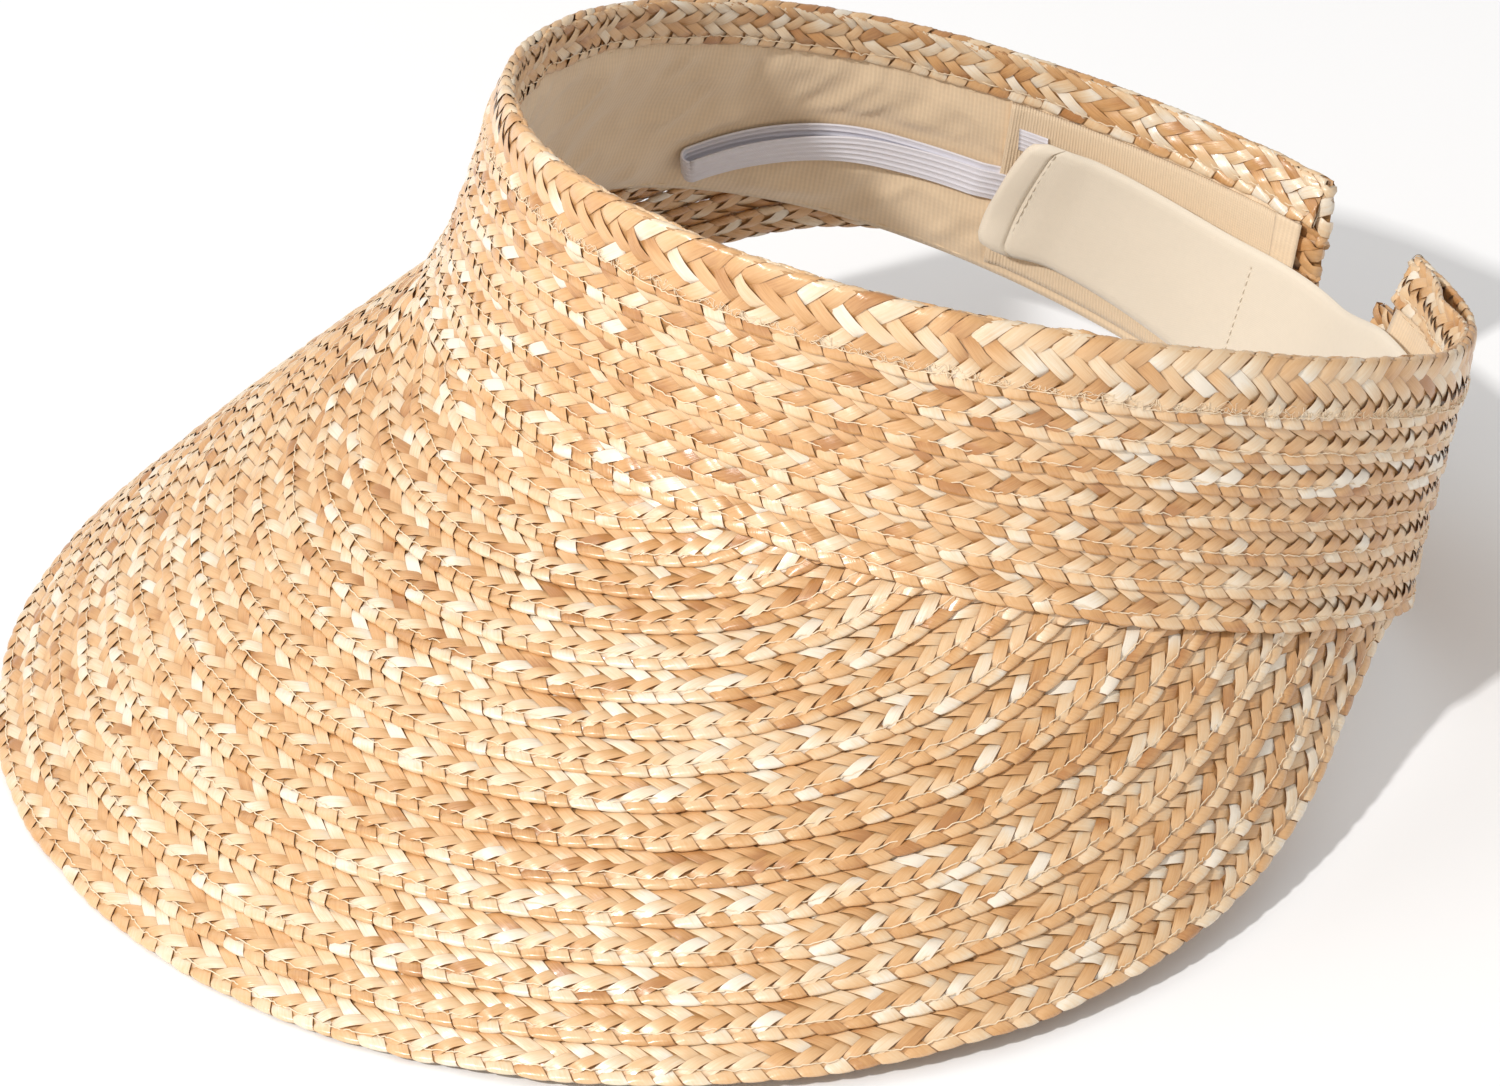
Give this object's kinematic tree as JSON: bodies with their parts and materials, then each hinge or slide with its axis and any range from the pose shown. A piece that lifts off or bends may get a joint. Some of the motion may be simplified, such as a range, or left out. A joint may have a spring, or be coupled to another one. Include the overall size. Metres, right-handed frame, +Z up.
{
  "type": "sun visor",
  "caption": "Open-crown sun visor of sewn plaited straw with a wide curved brim, cloth lining, hook-and-loop back strap and elastic loop.",
  "frame": {"origin": "centre of the bounding box on the table plane", "axes": "+Z up from the table, -Y toward the front edge of the brim, +X toward the band end the strap is sewn to"},
  "size_m": [0.2631, 0.2894, 0.1209],
  "materials": {
    "crown_straw": "satin plaited wheat straw",
    "brim_straw": "satin plaited wheat straw",
    "turned_straw": "satin plaited wheat straw, folded",
    "lining_cotton": "matte fine-ribbed cotton",
    "loop_fabric": "matte brushed loop fabric",
    "sewing_thread": "matte thread",
    "strap_fabric": "matte smooth woven fabric",
    "hook_tape": "matte hook tape",
    "elastic": "matte ribbed elastic"
  },
  "bodies": {
    "visor": {"brim_row_01": "brim_straw", "brim_row_02": "brim_straw", "brim_row_03": "brim_straw", "brim_row_04": "brim_straw", "brim_row_05": "brim_straw", "brim_row_06": "brim_straw", "brim_row_07": "brim_straw", "brim_row_08": "brim_straw", "brim_row_09": "brim_straw", "brim_row_10": "brim_straw", "brim_row_11": "brim_straw", "brim_row_12": "brim_straw", "brim_row_13": "brim_straw", "brim_row_14": "brim_straw", "brim_row_15": "brim_straw", "brim_row_16": "brim_straw", "brim_row_17": "brim_straw", "crown_row_1": "crown_straw", "crown_row_2": "crown_straw", "crown_row_3": "crown_straw", "crown_row_4": "crown_straw", "crown_row_5": "crown_straw", "crown_row_6": "crown_straw", "crown_row_7": "crown_straw", "elastic_root": "elastic", "elastic_tail": "elastic", "end_turn_far": "turned_straw", "end_turn_near": "turned_straw", "lining_stitch_bottom": "sewing_thread", "lining_stitch_top": "sewing_thread", "loop_patch": "loop_fabric", "patch_end_hem": "loop_fabric", "rim_fold": "turned_straw", "strap_root": "strap_fabric", "sweatband": "lining_cotton"},
    "strap": {"strap_panel": "strap_fabric", "hook_patch": "hook_tape", "strap_hem": "strap_fabric", "strap_stitch": "sewing_thread"},
    "elastic": {"elastic_loop": "elastic"}
  },
  "joints": [
    {"name": "strap_peel", "type": "hinge", "parent": "visor", "child": "strap", "pos_m": [0.03426, 0.11265, 0.03253], "axis": [0.1432, 0.2914, 0.9458], "range_deg": [0, 60]},
    {"name": "elastic_swing", "type": "hinge", "parent": "visor", "child": "elastic", "pos_m": [-0.0703, 0.09695, 0.04633], "axis": [0.2827, -0.0945, 0.9546], "range_deg": [0, 50]}
  ]
}
